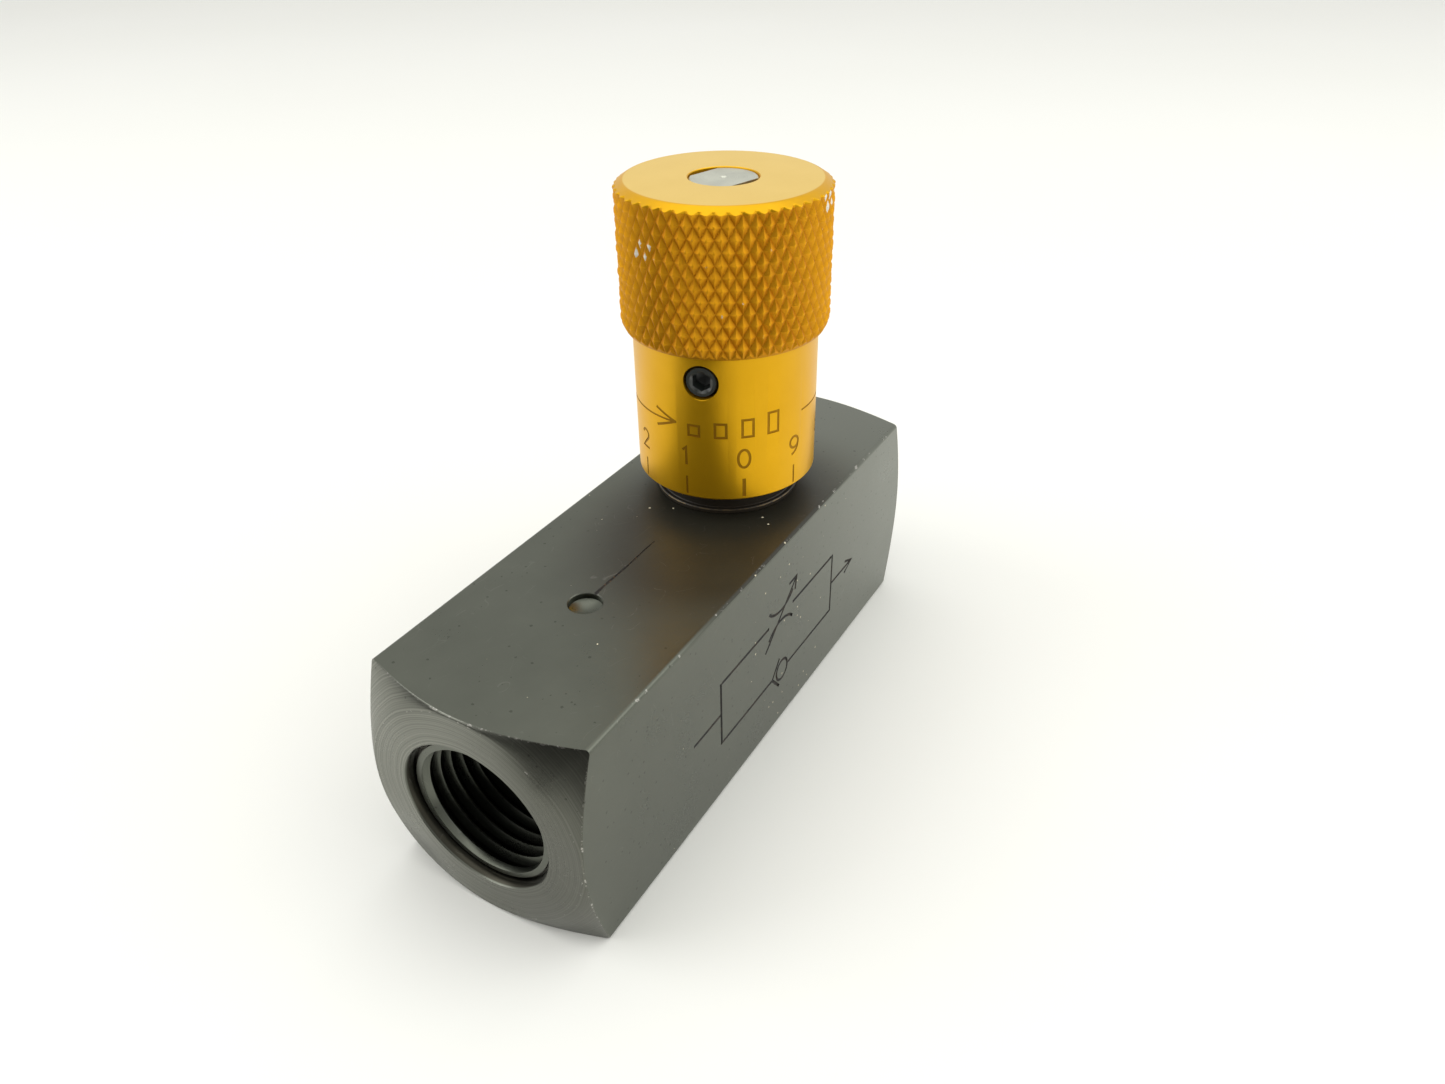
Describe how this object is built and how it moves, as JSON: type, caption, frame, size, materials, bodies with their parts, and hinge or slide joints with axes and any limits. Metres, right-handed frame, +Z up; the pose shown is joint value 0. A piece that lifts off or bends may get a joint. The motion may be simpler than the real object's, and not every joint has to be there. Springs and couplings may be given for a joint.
{
  "type": "flow control valve",
  "caption": "In-line flow control valve: square steel body with a threaded port in each end, and a knurled dial knob that turns the metering needle.",
  "frame": {"origin": "centre of the body's underside, which is also the middle of the whole part seen from above", "axes": "+X along the ports, from the metered inlet to the metered outlet and towards the knob's end; +Y across the body; +Z up along the knob's axis"},
  "size_m": [0.0914, 0.0318, 0.076],
  "materials": {
    "body_finish": "black oxide over milled bar, satin, worn along the edges",
    "bonnet_finish": "black oxide over turned steel",
    "seal_rubber": "matt nitrile",
    "retainer_steel": "turned, bare",
    "spring_steel": "drawn wire and stamped strip, oiled",
    "backup_plastic": "fluoropolymer, waxy",
    "stem_steel": "turned, bare",
    "knob_anodised": "gold anodised, satin on the skirt and cut through on the knurl's nicks",
    "pellet_brass": "cut from rod",
    "screw_black": "black oxide",
    "poppet_steel": "ground"
  },
  "bodies": {
    "housing": {"valve_body": "body_finish", "bonnet": "bonnet_finish", "bonnet_o_ring": "seal_rubber", "spring_retainer": "retainer_steel", "retaining_ring": "spring_steel", "check_spring": "spring_steel"},
    "stem_seals": {"stem_o_ring": "seal_rubber", "stem_backup_ring_lower": "backup_plastic", "stem_backup_ring_upper": "backup_plastic"},
    "knob_and_stem": {"needle_stem": "stem_steel", "knob": "knob_anodised"},
    "lock_pellet": {"lock_pellet": "pellet_brass"},
    "lock_screw": {"knob_lock_screw": "screw_black"},
    "check_poppet": {"check_poppet": "poppet_steel"}
  },
  "joints": [
    {"name": "stem_rise", "type": "slide", "parent": "housing", "child": "stem_seals", "axis": [0, 0, 1], "range_m": [-0.00268, 0.00494]},
    {"name": "knob_turn", "type": "hinge", "parent": "stem_seals", "child": "knob_and_stem", "pos_m": [0.0146, 0, 0.05], "axis": [0, 0, 1], "range_deg": [-761, 1400]},
    {"name": "lock_screw_travel", "type": "slide", "parent": "knob_and_stem", "child": "lock_pellet", "axis": [-0.9659, -0.2588, 0], "range_m": [0, 0.00159]},
    {"name": "lock_screw_turn", "type": "hinge", "parent": "lock_pellet", "child": "lock_screw", "pos_m": [0.0146, 0, 0.05295], "axis": [-0.9659, -0.2588, 0], "range_deg": [0, 721]},
    {"name": "check_open", "type": "slide", "parent": "housing", "child": "check_poppet", "axis": [-1, 0, 0], "range_m": [0, 0.004], "stiffness_N_per_m": 600, "springref_m": -0.004, "deforming": ["check_spring"]}
  ],
  "couplings": [
    {"joint": "knob_turn", "follows": "stem_rise", "rad_per_m": 4947.4},
    {"joint": "lock_screw_turn", "follows": "lock_screw_travel", "rad_per_m": 7915.8}
  ]
}
